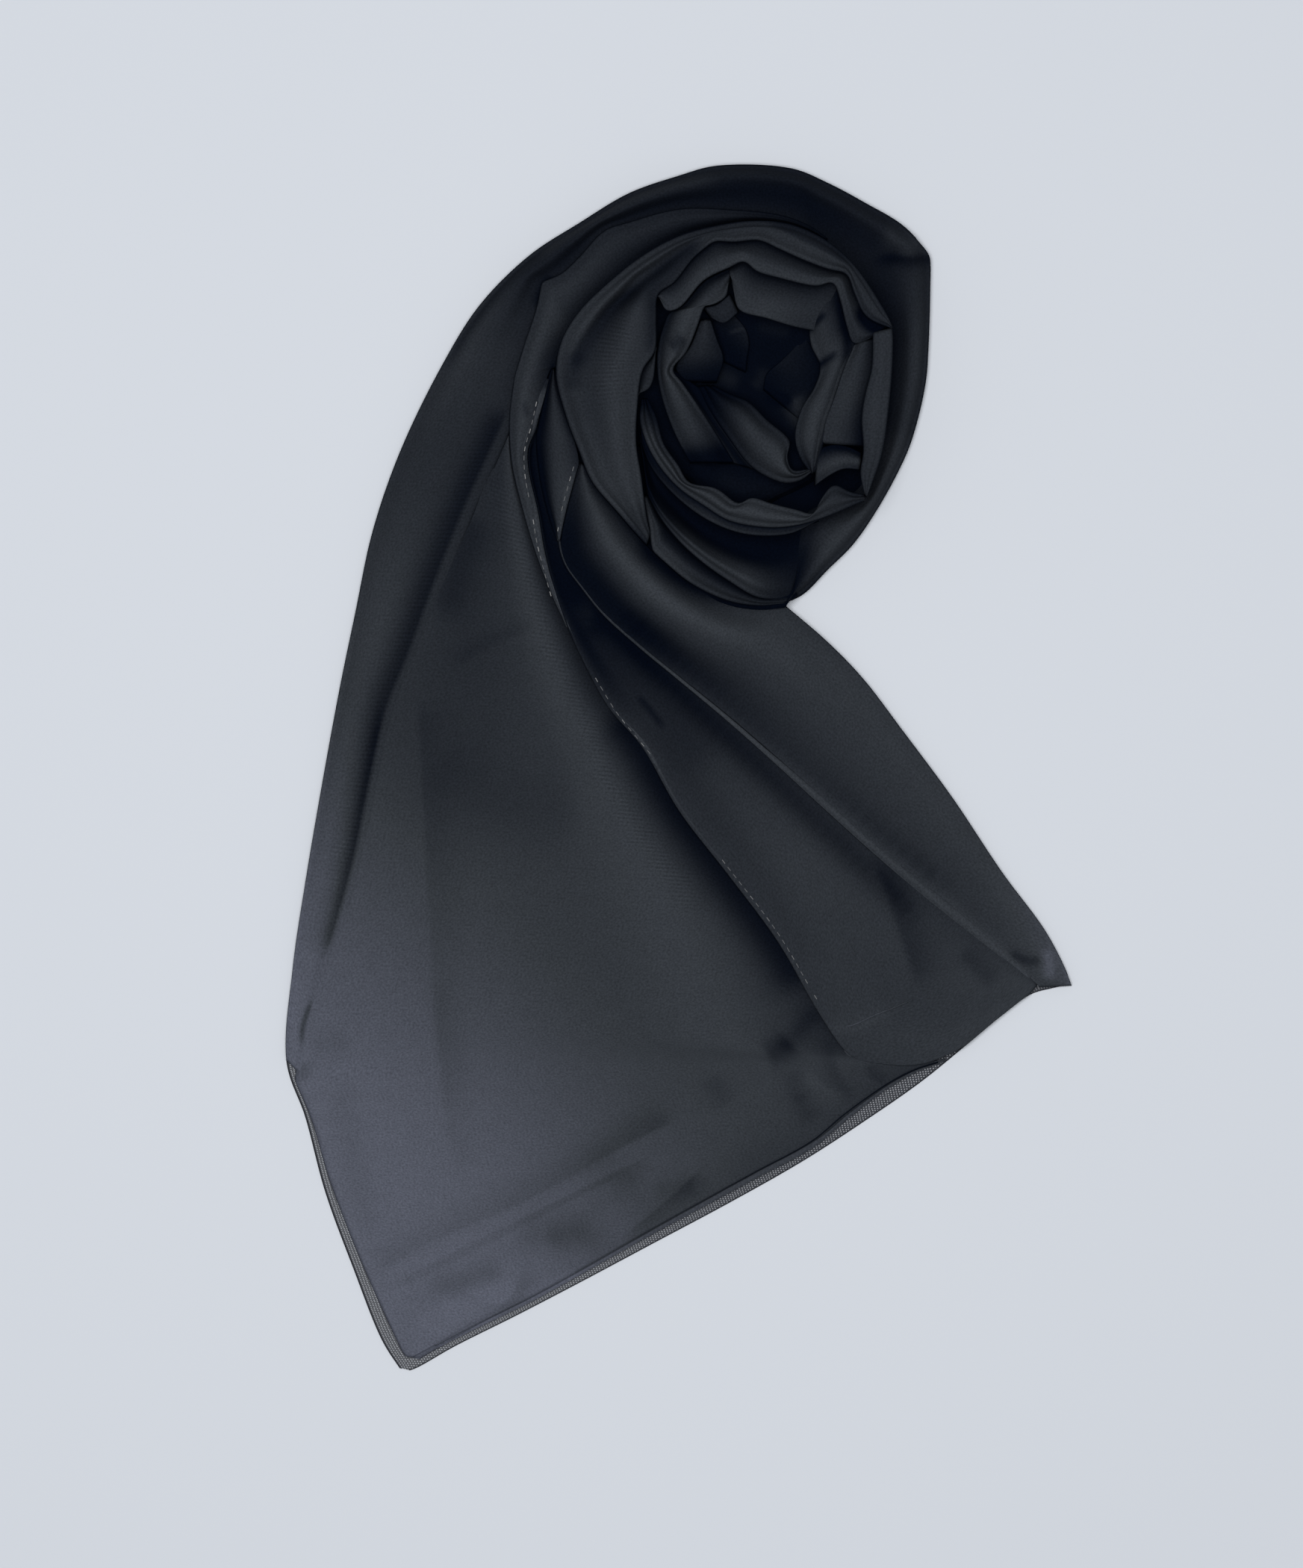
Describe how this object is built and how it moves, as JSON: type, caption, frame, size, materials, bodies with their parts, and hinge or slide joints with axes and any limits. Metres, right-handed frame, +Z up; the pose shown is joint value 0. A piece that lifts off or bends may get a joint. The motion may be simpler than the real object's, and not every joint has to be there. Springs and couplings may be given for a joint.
{
  "type": "georgette scarf",
  "caption": "Sheer black scarf lying flat, folded lengthwise, with a fanned tail and one end wound into a rosette.",
  "frame": {"origin": "under the middle of the outline, on the surface that the scarf lies on", "axes": "+Z up from the surface, +Y along the longer side towards the rosette, +X to the right seen from above"},
  "size_m": [0.3143, 0.4841, 0.036],
  "materials": {
    "georgette": "matt crepe, sheer in a single layer",
    "hem": "matt crepe, doubled and stitched"
  },
  "bodies": {
    "root": {"under_layer": "georgette", "left_panel": "georgette", "left_flap": "georgette", "middle_panel": "georgette", "right_panel": "georgette", "right_lapel": "georgette", "middle_lapel": "georgette", "outer_loop_top": "georgette", "outer_loop_right": "georgette", "left_petal": "georgette", "lower_band": "georgette", "band_under_ring": "georgette", "ring_1_top": "georgette", "ring_1_right": "georgette", "ring_crescent_under": "georgette", "ring_crescent": "georgette", "ring_2": "georgette", "ring_3": "georgette", "top_petal": "georgette", "right_inner_limb": "georgette", "right_outer_limb": "georgette", "pocket_flap": "georgette", "centre_fold": "georgette", "centre_wedge": "georgette", "centre_flap": "georgette", "hidden_layers": "georgette", "side_hem_1": "hem", "side_hem_2": "hem", "end_hem": "hem"}
  },
  "joints": []
}
